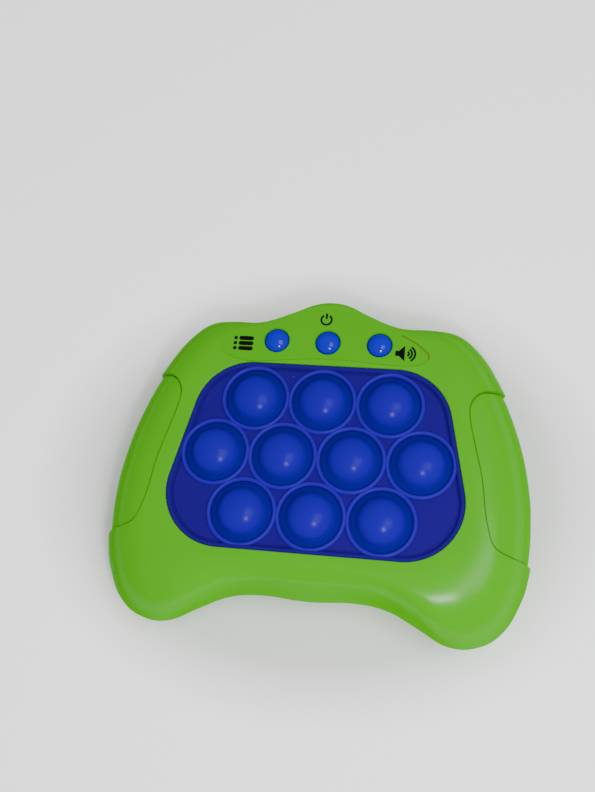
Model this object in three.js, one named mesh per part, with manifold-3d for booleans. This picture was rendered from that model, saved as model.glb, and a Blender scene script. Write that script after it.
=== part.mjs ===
// A handheld electronic bubble pop game, in millimetres, lying on its back.
// X runs across the housing, Y from the grips to the hump, and Z up out of the face. The origin is on
// the surface that the game lies on, below the middle of the housing. The pieces are laid out from the
// middle of the bubble field, which lies a little nearer the grips.

import * as THREE from 'three';
import { mergeVertices } from 'three/addons/utils/BufferGeometryUtils.js';
import Module from 'manifold-3d';

const wasm = await Module();
wasm.setup();

// Clearances
const fitGap = 0.3;
const seamGap = 0.3;
const overrun = 2;

// Bubble field, which sets the size of the sheet and of the housing round it
const bubblePitch = 27;
const bubbleRowCounts = [3, 4, 3];
const rowPitchShare = Math.sqrt(0.75);

// Housing, measured outwards from the edges of the bubble sheet
const sideRoom = 21.7;
const humpRoom = 32.3;
const gripRoom = 27.6;
const partingHeight = 18;
const faceHeight = 36;
const wall = 2.4;
const gripStep = 1.2;
const gripLedge = 6.5;
const lipWidth = 1;
const lipHeight = 2;
const lipRoot = 3;
const lipSpan = 8;
const lipRoom = 1.6;
const shoulderBluntShare = 0.8;
const frontDraftShare = 0.25;
const bottomShare = 0.8;
const rearDraftShare = 0.65;

// Half outlines of the housing, as shares of its half width and half length from its middle
const outlineShares = [
  [0, 1], [0.086, 0.978], [0.198, 0.89], [0.335, 0.848], [0.524, 0.872], [0.625, 0.859],
  [0.711, 0.779], [0.827, 0.559], [0.926, 0.267], [0.984, -0.038], [1, -0.302], [0.981, -0.589],
  [0.949, -0.73], [0.862, -0.913], [0.762, -0.988], [0.645, -0.997], [0.506, -0.915], [0.373, -0.836],
  [0.246, -0.808], [0, -0.82],
];
const faceShares = [
  [0, 0.906], [0.153, 0.865], [0.306, 0.771], [0.459, 0.672], [0.576, 0.525], [0.653, 0.321],
  [0.694, 0.079], [0.718, -0.155], [0.735, -0.331], [0.718, -0.507], [0.641, -0.625], [0.518, -0.676],
  [0.294, -0.686], [0, -0.686],
];
const gripShares = [
  [1.2, 0.592], [0.853, 0.49], [0.782, 0.447], [0.729, 0.428], [0.698, 0.38], [0.689, 0.314],
  [0.713, 0.109], [0.738, -0.082], [0.786, -0.39], [0.814, -0.471], [0.859, -0.503], [0.988, -0.525],
  [1.2, -0.544],
];

// Bubble sheet, measured outwards from the middles of its outermost bubbles
const sheetSide = 14.75;
const sheetSlant = 8.05;
const sheetAbove = 15.1;
const sheetBelow = 14.6;
const sheetCorner = 23;
const webDrop = 1.5;
const webThickness = 1.6;
const borderWidth = 2.7;
const borderRise = 0.8;
const flangeReach = 3;
const flangeThickness = 1.4;
const beadWidth = 1.6;
const beadRise = 0.9;

// Bubbles
const bubbleSpace = 3.6;
const bubbleRise = 6.5;
const bubbleWall = 1;
const bubbleTravel = 3.5;
const bubbleShares = [[1, -0.13], [0.94, -0.05], [0.86, 0.1], [0.8, 0.45], [0.6, 0.8], [0.33, 0.96], [0, 1]];
const bubbleInnerShares = [[1, -0.13], [0.74, 0.6], [0, 1]];

// Light guides under the bubbles, and the plate that guides them
const guideRoom = 3.7;
const guideRim = 2;
const guideBevelReach = 2;
const guideBevelRise = 1.6;
const guideCrownRise = 2.8;
const guideStem = 3.4;
const wellFloor = 1.6;
const legRadius = 2.5;
const legInset = 4.5;

// Main board and its switches
const boardRoom = 1.1;
const boardThickness = 1.6;
const boardEnd = 9.5;
const boardSide = 12.6;
const boardCorner = 5;
const upperPostShares = [0.88, 0.83];
const lowerPostShares = [0.4, -0.89];
const boardPostRadius = 3;
const switchSize = 6;
const switchBody = 3.5;
const switchStem = 1.5;
const switchStemRadius = 1.7;
const lampSize = 2.4;
const lampRise = 1.2;

// Push buttons and their board
const buttonSpacingShare = 0.247;
const buttonPlaceShare = 0.307;
const buttonRadius = 4.9;
const buttonRise = 2.4;
const buttonShares = [[1, 0.33], [0.94, 0.67], [0.65, 0.88], [0, 1]];
const buttonFlange = 1.1;
const buttonFlangeThickness = 1.3;
const buttonTravel = 1;
const buttonSwitchBody = 3;
const buttonSwitchStem = 1.3;
const buttonBoardEnd = 13.8;
const buttonBoardHalfLength = 5.2;
const buttonPostInset = 3;
const buttonPostRadius = 2.6;
const buttonPinRadius = 1.1;
const buttonPinReach = 1;

// Label film, as shares of the housing's half width and of the room between the sheet and the hump
const labelThickness = 0.3;
const labelLift = 0.1;
const labelShares = [
  [0.459, 0.087], [0.485, 0.176], [0.456, 0.282], [0.353, 0.455], [0.176, 0.663], [0, 0.755],
  [-0.118, 0.721], [-0.235, 0.594], [-0.359, 0.437], [-0.459, 0.344], [-0.506, 0.232], [-0.482, 0.087],
  [0, 0.087],
];

// Screws and the posts that they hold
const screwHeadRadius = 3;
const screwHeadHeight = 2;
const screwCrownShare = 0.7;
const screwRadius = 1.4;
const screwGrip = 9;
const screwTip = 1.2;
const postRadius = 4.4;
const postShelf = 2.6;
const gripScrewShares = [0.8, -0.771];
const shoulderScrewShares = [0.706, 0.592];
const humpScrewShare = 0.542;
const smallHeadRadius = 2.2;
const smallHeadHeight = 1.4;
const smallScrewRadius = 1;
const smallScrewGrip = 5;

// Battery well, door and cells
const cellCount = 3;
const cellRadius = 5.2;
const cellLength = 43.4;
const nubRadius = 1.9;
const nubLength = 0.9;
const cellGap = 0.4;
const contactSpace = 3.6;
const contactThickness = 0.4;
const contactInset = 1.2;
const springRadius = 2.6;
const springTip = 1.2;
const wellY = 4;
const wellWall = 1.6;
const frameWidth = 4.4;
const frameHeight = 4.8;
const doorLedge = 2.4;
const doorThickness = 1.8;
const doorCorner = 3;
const doorSink = 0.4;
const doorRib = 1.6;
const doorRibHeight = 1.4;
const doorRibCorner = 0.3;
const lugRadius = 5;
const lugHeight = 4;
const lugShelf = 1.5;
const lugReach = 2.5;

// Speaker
const speakerShares = [-0.529, -0.493];
const speakerRadius = 13;
const speakerRim = 1.4;
const speakerMagnetRadius = 7;
const speakerMagnetHeight = 3.2;
const speakerCup = 2.6;
const cupWall = 1.2;
const soundHoleRadius = 1.6;
const soundHoleRing = 6;
const soundHoleCount = 6;

// Steps of round forms
const outlineSteps = 60;
const labelSteps = 24;
const shoulderSteps = 5;
const innerSteps = 2;
const bubbleSteps = 16;
const roundSteps = 16;
const smallSteps = 8;
const cornerSteps = 5;
const plateSteps = 2;

// Vertices closer than this are one
const weldGap = 1e-5;

// Sizes and places across the face that follow from the values above
const rowPitch = bubblePitch * rowPitchShare;
const fieldHalfWidth = (Math.max(...bubbleRowCounts) - 1) / 2 * bubblePitch;
const fieldHalfLength = (bubbleRowCounts.length - 1) / 2 * rowPitch;
const bubbleFoot = (bubblePitch - bubbleSpace) / 2;
const sheetTopHalf = fieldHalfWidth + sheetSide - sheetSlant;
const sheetBottomHalf = fieldHalfWidth + sheetSide + sheetSlant;
const sheetTop = fieldHalfLength + sheetAbove;
const sheetBottom = fieldHalfLength + sheetBelow;
const halfWidth = sheetBottomHalf + sideRoom;
const halfLength = (humpRoom + sheetTop + sheetBottom + gripRoom) / 2;
const fieldDrop = (sheetTop + humpRoom - sheetBottom - gripRoom) / 2;
const guideRadius = bubbleFoot - guideRoom;
const boardHalfWidth = fieldHalfWidth + boardEnd;
const boardHalfLength = fieldHalfLength + boardSide;
const buttonSpacing = halfWidth * buttonSpacingShare;
const buttonY = sheetTop + humpRoom * buttonPlaceShare;
const buttonBoardHalfWidth = buttonSpacing + buttonBoardEnd;
const buttonPostX = buttonBoardHalfWidth - buttonPostInset;
const humpScrewX = buttonBoardHalfWidth + postRadius;
const lipX = humpScrewX + postRadius + lipRoom + lipSpan;
const [speakerX, speakerY] = housingPlace(speakerShares);

// Heights that follow from the values above
const webTop = faceHeight - webDrop;
const flangeTop = faceHeight - wall - fitGap;
const flangeBottom = flangeTop - flangeThickness;
const plateTop = flangeBottom - fitGap;
const bubbleBase = webTop + bubbleShares[0][1] * bubbleRise;
const wellTop = bubbleBase - bubbleTravel - fitGap;
const wellBottom = wellTop - wellFloor;
const cellBottom = doorSink + doorThickness + fitGap;
const cellHeight = cellBottom + cellRadius;
const wellRoof = cellHeight + cellRadius + fitGap;
const boardBottom = wellRoof + wellWall + boardRoom;
const boardTop = boardBottom + boardThickness;
const guideFoot = boardTop + switchBody + switchStem + bubbleTravel + fitGap;
const bubbleHole = bubbleFoot + fitGap;
const buttonFlangeTop = faceHeight - wall - fitGap;
const buttonFoot = buttonFlangeTop - buttonFlangeThickness;
const buttonBoardTop = buttonFoot - buttonTravel - fitGap - buttonSwitchBody - buttonSwitchStem;
const wellHalfLength = cellCount * cellRadius + (cellCount + 1) * cellGap / 2;
const wellHalfWidth = cellLength / 2 + contactSpace;

// A place given as shares of the housing's half width and half length from its middle
function housingPlace([x, y]) {
  return [x * halfWidth, y * halfLength + fieldDrop];
}

// Turning three.js shapes into solids that can be joined and cut, and back
function solidOf(geometry) {
  const bare = geometry.clone();
  bare.deleteAttribute('normal');
  bare.deleteAttribute('uv');
  const merged = mergeVertices(bare, weldGap);
  const mesh = new wasm.Mesh({
    numProp: 3,
    vertProperties: new Float32Array(merged.attributes.position.array),
    triVerts: new Uint32Array(merged.index.array),
  });
  return new wasm.Manifold(mesh);
}

function geometryOf(solid) {
  const mesh = solid.getMesh();
  const geometry = new THREE.BufferGeometry();
  geometry.setAttribute('position', new THREE.BufferAttribute(mesh.vertProperties, 3));
  geometry.setIndex(new THREE.BufferAttribute(mesh.triVerts, 1));
  geometry.computeVertexNormals();
  return geometry;
}

// Outlines, as lists of points that run anticlockwise
function mirroredOutline(shares) {
  const right = shares.map(housingPlace);
  const left = right.slice(1, -1).reverse().map(([x, y]) => [-x, y]);
  return smoothOutline([...right, ...left].reverse(), outlineSteps);
}

function smoothOutline(points, steps) {
  const knots = points.map(([x, y]) => new THREE.Vector3(x, y, 0));
  const curve = new THREE.CatmullRomCurve3(knots, true, 'centripetal');
  return curve.getSpacedPoints(steps).slice(0, steps).map((p) => new THREE.Vector2(p.x, p.y));
}

function roundedOutline(corners, radius, steps) {
  const points = [];
  corners.forEach((corner, index) => {
    const before = corners[(index + corners.length - 1) % corners.length];
    const after = corners[(index + 1) % corners.length];
    const back = before.clone().sub(corner).normalize();
    const ahead = after.clone().sub(corner).normalize();
    const half = Math.acos(back.dot(ahead)) / 2;
    const middle = back.clone().add(ahead).normalize().multiplyScalar(radius / Math.sin(half));
    const centre = corner.clone().add(middle);
    const start = corner.clone().addScaledVector(back, radius / Math.tan(half)).sub(centre);
    const turn = Math.PI - 2 * half;
    for (let step = 0; step <= steps; step += 1) {
      points.push(start.clone().rotateAround(new THREE.Vector2(), turn * step / steps).add(centre));
    }
  });
  return points;
}

function rectangle(halfX, halfY, radius, steps) {
  const corners = [[-halfX, -halfY], [halfX, -halfY], [halfX, halfY], [-halfX, halfY]];
  return roundedOutline(corners.map(([x, y]) => new THREE.Vector2(x, y)), radius, steps);
}

function moved(outline, x, y) {
  return outline.map((p) => new THREE.Vector2(p.x + x, p.y + y));
}

function widened(outline, distance) {
  return outline.map((point, index) => {
    const before = outline[(index + outline.length - 1) % outline.length];
    const after = outline[(index + 1) % outline.length];
    const along = after.clone().sub(before).normalize();
    return new THREE.Vector2(point.x + along.y * distance, point.y - along.x * distance);
  });
}

// Where the ray from the middle of the field through a point crosses an outline
function crossing(outline, point) {
  const direction = point.clone().normalize();
  for (let index = 0; index < outline.length; index += 1) {
    const start = outline[index];
    const side = outline[(index + 1) % outline.length].clone().sub(start);
    const across = direction.cross(side);
    const share = start.cross(direction) / across;
    const reach = start.cross(side) / across;
    if (reach > 0 && share >= 0 && share < 1) return direction.multiplyScalar(reach);
  }
  throw new Error('The outline does not go round the middle of the field');
}

// Closed solids
function prism(outline, bottom, top) {
  const shape = new THREE.Shape(outline);
  const geometry = new THREE.ExtrudeGeometry(shape, { depth: top - bottom, bevelEnabled: false });
  return solidOf(geometry.translate(0, 0, bottom));
}

function cylinder(radius, bottom, top, x, y, steps) {
  const geometry = new THREE.CylinderGeometry(radius, radius, top - bottom, steps);
  geometry.rotateX(Math.PI / 2).translate(x, y, (top + bottom) / 2);
  return solidOf(geometry);
}

function turned(profile, steps) {
  const points = profile.map(([radius, height]) => new THREE.Vector2(radius, height));
  return solidOf(new THREE.LatheGeometry(points, steps).rotateX(Math.PI / 2));
}

function loft(rings) {
  const count = rings[0].length;
  const corners = rings.flat().flatMap((p) => [p.x, p.y, p.z]);
  const triangles = [];
  const last = rings.length - 1;
  corners.push(0, 0, rings[0][0].z, 0, 0, rings[last][0].z);
  const bottomMiddle = rings.length * count;
  for (let step = 0; step < count; step += 1) {
    const next = (step + 1) % count;
    for (let ring = 0; ring < last; ring += 1) {
      const low = ring * count;
      const high = low + count;
      triangles.push(low + step, low + next, high + next, low + step, high + next, high + step);
    }
    triangles.push(bottomMiddle, next, step);
    triangles.push(bottomMiddle + 1, last * count + step, last * count + next);
  }
  const geometry = new THREE.BufferGeometry();
  geometry.setAttribute('position', new THREE.Float32BufferAttribute(corners, 3));
  geometry.setIndex(triangles);
  return solidOf(geometry);
}

// A rounded shoulder between a wide outline at one height and a narrow one at another. A share of the
// way in is a straight draft, and the rest is round.
function shoulder(wide, narrow, wideZ, narrowZ, steps, draftShare) {
  const rings = [];
  for (let step = 0; step <= steps; step += 1) {
    const angle = step / steps * Math.PI / 2;
    const up = Math.sin(angle) ** shoulderBluntShare;
    const round = 1 - Math.cos(angle) ** shoulderBluntShare;
    const out = 1 - draftShare * up - (1 - draftShare) * round;
    rings.push(wide.map((point, index) => {
      const flat = narrow[index].clone().lerp(point, out);
      return new THREE.Vector3(flat.x, flat.y, wideZ + (narrowZ - wideZ) * up);
    }));
  }
  return loft(wideZ < narrowZ ? rings : rings.reverse());
}

const housing = mirroredOutline(outlineShares);
const faceEdge = mirroredOutline(faceShares);
const sheetOutline = roundedOutline([
  new THREE.Vector2(-sheetBottomHalf, -sheetBottom), new THREE.Vector2(sheetBottomHalf, -sheetBottom),
  new THREE.Vector2(sheetTopHalf, sheetTop), new THREE.Vector2(-sheetTopHalf, sheetTop),
], sheetCorner, cornerSteps);

// The outer form of the front half, drawn in by an inset on all sides
function frontForm(inset, steps) {
  const foot = widened(housing, -inset);
  const edge = housing.map((point) => crossing(faceEdge, point));
  return shoulder(foot, edge, partingHeight + seamGap / 2 - (inset ? overrun : 0),
    faceHeight - inset, steps, frontDraftShare);
}

function rearForm(inset, steps) {
  const rim = widened(housing, -inset);
  const base = widened(housing.map((point) => point.clone().multiplyScalar(bottomShare)), -inset);
  return shoulder(rim, base, partingHeight - seamGap / 2 + (inset ? overrun : 0), inset, steps,
    rearDraftShare);
}

// The stepped-in grip panels, as a tool that is cut away from both halves
function gripTool(inner, bottom, top) {
  const right = gripShares.map(housingPlace).map(([x, y]) => new THREE.Vector2(x, y));
  const left = right.map((p) => new THREE.Vector2(-p.x, p.y)).reverse();
  const panels = prism([...right].reverse(), bottom, top).add(prism([...left].reverse(), bottom, top));
  return panels.subtract(inner);
}

// Places that repeat
function bubblePlaces() {
  return bubbleRowCounts.flatMap((count, row) => Array.from({ length: count }, (_, column) => ({
    x: (column - (count - 1) / 2) * bubblePitch,
    y: fieldHalfLength - row * rowPitch,
  })));
}

function bothSides([x, y]) {
  return [{ x: -x, y }, { x, y }];
}

const bubbles = bubblePlaces();
const caseScrews = [
  housingPlace(gripScrewShares), housingPlace(shoulderScrewShares),
  [humpScrewX, sheetTop + humpRoom * humpScrewShare],
].flatMap(bothSides);
const boardPosts = [upperPostShares, lowerPostShares].flatMap(([x, y]) => bothSides([
  x * boardHalfWidth, y * boardHalfLength]));
const buttons = [-1, 0, 1].map((side) => ({ x: side * buttonSpacing, y: buttonY }));
const buttonPosts = bothSides([buttonPostX, buttonY]);
const postTop = partingHeight - seamGap / 2;
const bossBottom = partingHeight + seamGap / 2;
const screwSeat = postTop - postShelf;
const doorHalfWidth = wellHalfWidth + doorLedge;
const doorHalfLength = wellHalfLength + doorLedge;
const lugY = wellY - doorHalfLength - lugReach;
const lugTop = doorSink + lugHeight;

function joinAll(solids) {
  return solids.reduce((sum, solid) => sum.add(solid));
}

// Front shell: a moulded half with the window, the button holes and the screw bosses
function frontShell() {
  const form = frontForm(0, shoulderSteps);
  const lipHollow = prism(widened(housing, -wall), partingHeight - overrun,
    partingHeight + lipHeight + fitGap).intersect(lipPlaces(fitGap));
  const hollow = frontForm(wall, innerSteps).add(lipHollow);
  const bosses = joinAll([
    ...caseScrews.map(({ x, y }) => cylinder(postRadius, bossBottom, faceHeight, x, y, smallSteps)),
    ...buttonPosts.flatMap(({ x, y }) => [
      cylinder(buttonPostRadius, buttonBoardTop + fitGap, faceHeight, x, y, smallSteps),
      cylinder(buttonPinRadius, buttonBoardTop - boardThickness - buttonPinReach, faceHeight, x, y,
        smallSteps),
    ]),
  ]).intersect(form);
  const window = prism(widened(sheetOutline, fitGap), partingHeight, faceHeight + overrun);
  const holes = joinAll([
    ...buttons.map(({ x, y }) => cylinder(
      buttonRadius + fitGap, buttonBoardTop, faceHeight + overrun, x, y, roundSteps)),
    ...caseScrews.map(({ x, y }) => cylinder(screwRadius + fitGap, bossBottom - overrun,
      screwSeat + screwGrip + fitGap, x, y, smallSteps)),
  ]);
  const grips = gripTool(frontForm(gripStep, shoulderSteps), partingHeight - overrun, faceHeight + overrun);
  return form.subtract(hollow).add(bosses).subtract(window).subtract(holes).subtract(grips);
}

// Battery well, door frame and lug seat inside the rear shell
function wellBlock() {
  const frame = prism(moved(rectangle(doorHalfWidth + frameWidth, doorHalfLength + frameWidth,
    doorCorner + frameWidth, plateSteps), 0, wellY), 0, frameHeight);
  const box = prism(moved(rectangle(wellHalfWidth + wellWall, wellHalfLength + wellWall,
    wellWall, plateSteps), 0, wellY), 0, wellRoof + wellWall);
  const lugSeat = cylinder(lugRadius + wellWall, 0, lugTop + fitGap + screwGrip - lugShelf, 0, lugY,
    roundSteps);
  return joinAll([frame, box, lugSeat]);
}

function wellHollow() {
  const recess = prism(moved(rectangle(doorHalfWidth + fitGap, doorHalfLength + fitGap,
    doorCorner + fitGap, plateSteps), 0, wellY), -overrun, cellBottom);
  const room = prism(moved(rectangle(wellHalfWidth, wellHalfLength, wellWall / 2, plateSteps), 0, wellY),
    -overrun, wellRoof);
  const lugHole = cylinder(lugRadius + fitGap, -overrun, lugTop + fitGap, 0, lugY, roundSteps);
  const screwHole = cylinder(smallScrewRadius + fitGap, 0,
    lugTop - lugShelf + smallScrewGrip + fitGap, 0, lugY, smallSteps);
  return joinAll([recess, room, lugHole, screwHole]);
}

function soundHoles() {
  const holes = [cylinder(soundHoleRadius, -overrun, wall + overrun, speakerX, speakerY, smallSteps)];
  for (let hole = 0; hole < soundHoleCount; hole += 1) {
    const angle = hole / soundHoleCount * Math.PI * 2;
    holes.push(cylinder(soundHoleRadius, -overrun, wall + overrun,
      speakerX + soundHoleRing * Math.cos(angle), speakerY + soundHoleRing * Math.sin(angle), smallSteps));
  }
  return joinAll(holes);
}

function speakerSeat() {
  const outside = speakerRadius + fitGap + cupWall;
  return cylinder(outside, 0, wall + speakerCup, speakerX, speakerY, bubbleSteps)
    .subtract(cylinder(speakerRadius + fitGap, wall, wall + speakerCup + overrun, speakerX, speakerY,
      bubbleSteps));
}

// Six stretches of the parting line, at the hump, below the sheet, at both shoulders and both grips
function lipPlaces(room) {
  const block = (x, y, halfX, halfY) => solidOf(new THREE.BoxGeometry(halfX * 2 + room * 2,
    halfY * 2 + room * 2, partingHeight * 2).translate(x, y, partingHeight));
  return joinAll([
    block(0, 0, lipSpan, halfLength * 2),
    ...bothSides([lipX, halfLength]).map(({ x, y }) => block(x, y, lipSpan, halfLength / 2)),
    ...bothSides([lipX, -halfLength]).map(({ x, y }) => block(x, y, lipSpan, halfLength / 2)),
  ]);
}

// The tongues that stand inside the front shell and line up the two halves
function liningLip() {
  const outer = widened(housing, -wall - fitGap);
  const inner = widened(housing, -wall - fitGap - lipWidth);
  const root = prism(widened(housing, -wall / 2), postTop - lipRoot, postTop)
    .intersect(rearForm(0, shoulderSteps));
  const tongue = prism(outer, postTop - lipRoot, partingHeight + lipHeight);
  return root.add(tongue).intersect(lipPlaces(0))
    .subtract(prism(inner, postTop - lipRoot - overrun, partingHeight + lipHeight + overrun));
}

// Rear shell: the half that lies on the table, with the battery well, posts and sound holes
function rearShell() {
  const form = rearForm(0, shoulderSteps);
  const hollow = rearForm(wall, innerSteps);
  const posts = joinAll([
    ...caseScrews.map(({ x, y }) => cylinder(postRadius, 0, postTop, x, y, smallSteps)),
    wellBlock(),
    speakerSeat(),
  ]).intersect(form).add(joinAll(boardPosts.map(({ x, y }) => cylinder(
    boardPostRadius, 0, boardBottom - fitGap, x, y, smallSteps))));
  const holes = joinAll(caseScrews.flatMap(({ x, y }) => [
    cylinder(screwHeadRadius + fitGap, -overrun, screwSeat, x, y, smallSteps),
    cylinder(screwRadius + fitGap, 0, postTop + overrun, x, y, smallSteps),
  ]));
  const grips = gripTool(rearForm(gripStep, shoulderSteps), gripLedge, partingHeight + overrun);
  return form.subtract(hollow).add(liningLip()).add(posts).subtract(holes).subtract(wellHollow())
    .subtract(soundHoles()).subtract(grips);
}

// Bubble sheet: flange under the window's edge, raised border, web and a bead round each opening
function bubbleSheet() {
  const flange = prism(widened(sheetOutline, fitGap + flangeReach), flangeBottom, flangeTop);
  const body = prism(sheetOutline, flangeBottom, webTop + borderRise);
  const inside = widened(sheetOutline, -borderWidth);
  const above = prism(inside, webTop, webTop + borderRise + overrun);
  const below = prism(inside, flangeBottom - overrun, webTop - webThickness);
  const middle = bubbleHole + beadWidth / 2;
  const beadProfile = [
    [bubbleHole, webTop - webThickness / 2], [middle + beadWidth / 2, webTop - webThickness / 2],
    [middle + beadWidth / 4, webTop + beadRise], [middle - beadWidth / 4, webTop + beadRise],
    [bubbleHole, webTop - webThickness / 2],
  ];
  const bead = turned(beadProfile, bubbleSteps);
  const beads = joinAll(bubbles.map(({ x, y }) => bead.translate([x, y, 0])));
  const openings = joinAll(bubbles.map(({ x, y }) => cylinder(
    bubbleHole, flangeBottom - overrun, webTop + borderRise + overrun, x, y, bubbleSteps)));
  return flange.add(body).subtract(above).subtract(below).add(beads).subtract(openings);
}

// One bubble: a thin dome with a foot that flexes in its opening
function bubbleDome() {
  const outer = bubbleShares.map(([radius, height]) => [
    radius * bubbleFoot, webTop + height * bubbleRise]);
  const inner = bubbleInnerShares.map(([radius, height]) => [
    Math.max(radius * bubbleFoot - bubbleWall, 0), webTop + height * bubbleRise - bubbleWall]);
  inner[0][1] = bubbleBase;
  return turned([...outer, ...inner.reverse(), outer[0]], bubbleSteps);
}

// Light guide: a clear crown under the dome and a stem that presses the switch
function lightGuide() {
  const rimBottom = bubbleBase + fitGap;
  return turned([
    [0, guideFoot], [guideStem, guideFoot], [guideStem, rimBottom], [guideRadius, rimBottom],
    [guideRadius, rimBottom + guideRim],
    [guideRadius - guideBevelReach, rimBottom + guideRim + guideBevelRise],
    [0, rimBottom + guideRim + guideCrownRise],
  ], smallSteps);
}

function legPlaces() {
  const bottom = widened(sheetOutline, -legInset);
  const top = bottom.reduce((best, p) => (p.x + p.y > best.x + best.y ? p : best));
  const low = bottom.reduce((best, p) => (p.x - p.y > best.x - best.y ? p : best));
  return [...bothSides([top.x, top.y]), ...bothSides([low.x, low.y])];
}

// Guide plate: backs the flange of the sheet, with a well for each bubble, and stands on the board
function guidePlate() {
  const plate = prism(widened(sheetOutline, flangeReach), wellBottom, plateTop);
  const wells = joinAll(bubbles.flatMap(({ x, y }) => [
    cylinder(bubbleHole, wellTop, plateTop + overrun, x, y, bubbleSteps),
    cylinder(guideStem + fitGap, wellBottom - overrun, wellTop + overrun, x, y, smallSteps),
  ]));
  const legs = joinAll(legPlaces().map(({ x, y }) => cylinder(
    legRadius, boardTop + fitGap, plateTop, x, y, smallSteps)));
  return plate.add(legs).subtract(wells);
}

// Main board with one lamp beside each switch
function mainBoard() {
  const board = prism(rectangle(boardHalfWidth, boardHalfLength, boardCorner, plateSteps),
    boardBottom, boardTop);
  const reach = switchSize / 2 + lampSize;
  const lamps = joinAll(bubbles.map(({ x, y }) => solidOf(new THREE.BoxGeometry(
    lampSize, lampSize, lampRise * 2).translate(x, y + reach, boardTop))));
  return board.add(lamps);
}

function tactSwitch(bottom, body, stem) {
  const block = new THREE.BoxGeometry(switchSize, switchSize, body).translate(0, 0, bottom + body / 2);
  return solidOf(block).add(cylinder(switchStemRadius, bottom + body / 2, bottom + body + stem, 0, 0,
    smallSteps));
}

// Push button: a low crowned cap that a flange keeps in the housing
function pushButton() {
  const wide = buttonRadius + fitGap + buttonFlange;
  return turned([
    [0, buttonFoot], [wide, buttonFoot], [wide, buttonFlangeTop], [buttonRadius, buttonFlangeTop],
    ...buttonShares.map(([radius, height]) => [radius * buttonRadius, faceHeight + height * buttonRise]),
  ], roundSteps);
}

function buttonBoard() {
  const board = prism(moved(rectangle(buttonBoardHalfWidth, buttonBoardHalfLength,
    boardThickness, plateSteps), 0, buttonY), buttonBoardTop - boardThickness, buttonBoardTop);
  return board.subtract(joinAll(buttonPosts.map(({ x, y }) => cylinder(buttonPinRadius + fitGap,
    buttonBoardTop - boardThickness - overrun, buttonBoardTop + overrun, x, y, smallSteps))));
}

// A screw that stands on its head at the given height, with its tip up
function screw(headRadius, headHeight, radius, grip, seat) {
  return turned([
    [0, seat - headHeight], [headRadius * screwCrownShare, seat - headHeight],
    [headRadius, seat - headHeight / 2], [headRadius, seat], [radius, seat],
    [radius, seat + grip - screwTip], [0, seat + grip],
  ], smallSteps);
}

// Label film on the hump, with holes for the buttons
function labelFilm() {
  const points = labelShares.map(([x, y]) => [x * halfWidth, sheetTop + y * humpRoom]);
  const bottom = faceHeight + labelLift;
  const film = prism(smoothOutline(points, labelSteps), bottom, bottom + labelThickness);
  return film.subtract(joinAll(buttons.map(({ x, y }) => cylinder(buttonRadius + fitGap * 2,
    bottom - overrun, bottom + labelThickness + overrun, x, y, roundSteps))));
}

// Battery door: a plate in its recess, with locating ribs and a cupped lug for its screw
function batteryDoor() {
  const bottom = doorSink;
  const top = doorSink + doorThickness;
  const plate = prism(moved(rectangle(doorHalfWidth, doorHalfLength, doorCorner, plateSteps), 0, wellY),
    bottom, top);
  const ribX = wellHalfWidth - fitGap * 2 - contactThickness * 2 - doorRib / 2;
  const ribs = joinAll([-1, 1].map((side) => prism(moved(rectangle(doorRib / 2,
    wellHalfLength - doorCorner, doorRibCorner, plateSteps), side * ribX, wellY),
  bottom, top + doorRibHeight)));
  const lug = cylinder(lugRadius, bottom, lugTop, 0, lugY, roundSteps);
  const hole = cylinder(smallScrewRadius + fitGap, 0, lugTop + overrun, 0, lugY, smallSteps)
    .add(cylinder(smallHeadRadius + fitGap, -overrun, lugTop - lugShelf, 0, lugY, smallSteps));
  return plate.add(ribs).add(lug).subtract(hole);
}

// One cell of the battery, lying along X
function batteryCell(turnedRound) {
  const half = cellLength / 2;
  const cell = solidOf(new THREE.LatheGeometry([
    [0, -half], [cellRadius, -half], [cellRadius, half - nubLength], [nubRadius, half - nubLength],
    [nubRadius, half], [0, half],
  ].map(([radius, along]) => new THREE.Vector2(radius, along)), roundSteps).rotateZ(Math.PI / 2));
  return turnedRound ? cell.rotate([0, 0, 180]) : cell;
}

// A contact plate at one end of the well, bearing on one cell or on two
function contactPlate(side, rows) {
  const x = side * (wellHalfWidth - fitGap - contactThickness / 2);
  const low = wellY + (rows[0] - 0.5) * (cellRadius * 2 + cellGap) + contactInset;
  const high = wellY + (rows[rows.length - 1] + 0.5) * (cellRadius * 2 + cellGap) - contactInset;
  const plate = new THREE.BoxGeometry(contactThickness, high - low,
    wellRoof - cellBottom - fitGap * 2 - contactInset);
  plate.translate(x, (high + low) / 2, (wellRoof + cellBottom + contactInset) / 2);
  const reach = contactSpace - fitGap * 2 - contactThickness / 2;
  const springs = rows.map((row) => {
    const spring = new THREE.CylinderGeometry(springTip, springRadius, reach, smallSteps);
    spring.rotateZ(side * Math.PI / 2).translate(x - side * reach / 2,
      wellY + row * (cellRadius * 2 + cellGap), cellHeight);
    return solidOf(spring);
  });
  return solidOf(plate).add(joinAll(springs));
}

// Speaker, face down over the sound holes
function speaker() {
  const bottom = wall + fitGap;
  return turned([
    [0, bottom + speakerRim / 2], [speakerRadius - speakerRim * 2, bottom + speakerRim / 2],
    [speakerRadius - speakerRim, bottom], [speakerRadius, bottom], [speakerRadius, bottom + speakerRim],
    [speakerMagnetRadius, bottom + speakerRim * 2],
    [speakerMagnetRadius, bottom + speakerRim * 2 + speakerMagnetHeight],
    [0, bottom + speakerRim * 2 + speakerMagnetHeight],
  ], bubbleSteps);
}

// Materials
function plastic(color, roughness) {
  return () => new THREE.MeshStandardMaterial({ color, roughness, metalness: 0 });
}

function metal(color) {
  return () => new THREE.MeshStandardMaterial({ color, roughness: 0.35, metalness: 1 });
}

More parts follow.
